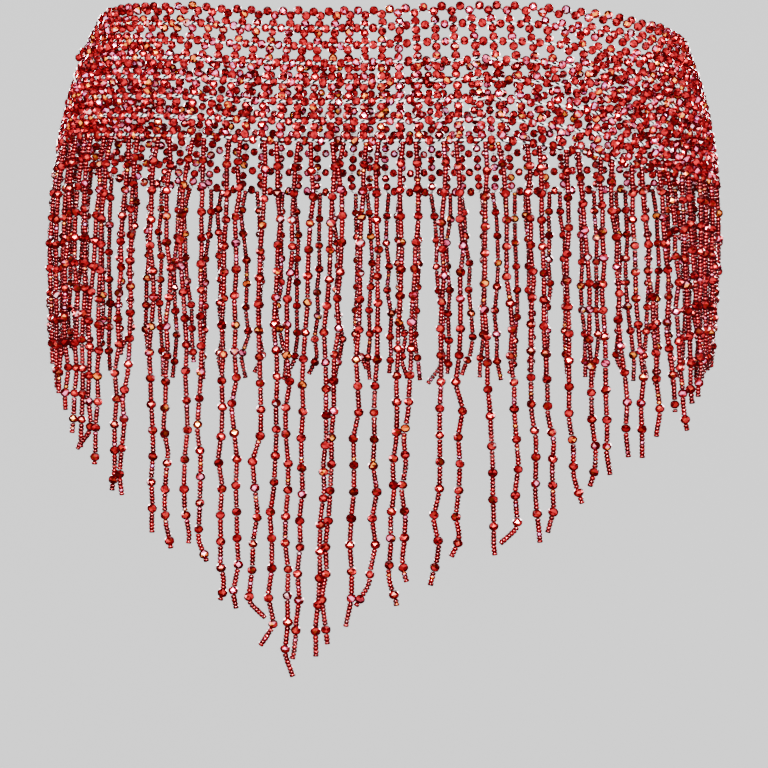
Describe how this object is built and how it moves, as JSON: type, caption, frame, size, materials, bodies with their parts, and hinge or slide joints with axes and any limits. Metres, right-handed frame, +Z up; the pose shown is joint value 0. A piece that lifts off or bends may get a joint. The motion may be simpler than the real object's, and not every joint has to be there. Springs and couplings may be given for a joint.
{
  "type": "belly dance hip belt",
  "caption": "Seamless stretch hip belt of netted glass beads with bead fringe that falls to a point at the back, in its worn hollow form.",
  "frame": {"origin": "on the axis of the wearer's hips, level with the middle of the bead net, where the stretched net grips them", "axes": "+Y the way the wearer faces, so the fringe's point is at -Y; +Z up; +X the wearer's right side"},
  "size_m": [0.3516, 0.2436, 0.3405],
  "materials": {
    "net_beads": "faceted translucent red glass with a rainbow lustre coat",
    "fringe_beads": "small round red glass seed beads between faceted ones",
    "elastic": "white stretch cord with a slight shine",
    "knot_thread": "black thread knots"
  },
  "bodies": {
    "root": {"net_band": "net_beads", "fringe_back": "fringe_beads", "fringe_front": "fringe_beads"}
  },
  "joints": []
}
